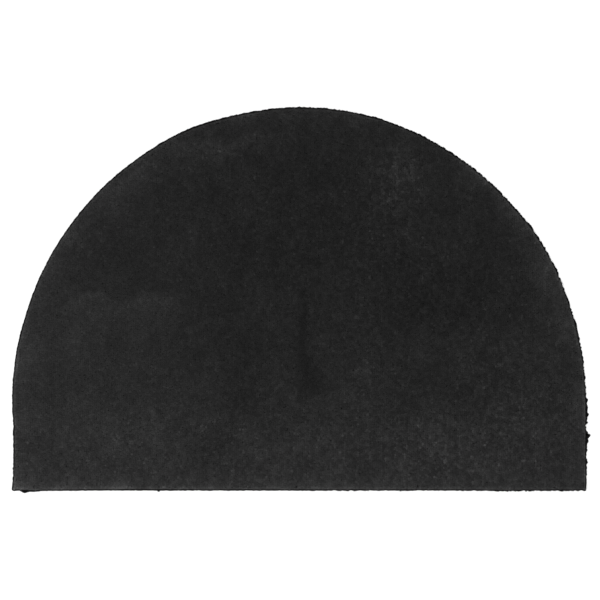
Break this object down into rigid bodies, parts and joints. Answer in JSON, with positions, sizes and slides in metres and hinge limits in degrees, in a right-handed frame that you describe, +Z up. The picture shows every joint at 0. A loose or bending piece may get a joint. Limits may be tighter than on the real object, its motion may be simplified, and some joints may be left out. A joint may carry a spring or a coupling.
{
  "type": "half round doormat",
  "caption": "Half round doormat: a short tufted cut pile fused to a thin rubber backing, lying flat, with one straight edge and a round arc.",
  "frame": {"origin": "middle of the mat's bounding box, on the floor", "axes": "+Z up out of the pile; the straight edge faces -Y and the arc faces +Y; X runs along the straight edge"},
  "size_m": [0.7546, 0.5038, 0.0086],
  "materials": {
    "charcoal_pile": "matte, short cut pile of charcoal yarn",
    "black_rubber": "matte moulded rubber sheet with a knife-cut edge"
  },
  "bodies": {
    "root": {"pile": "charcoal_pile", "backing": "black_rubber"}
  },
  "joints": []
}
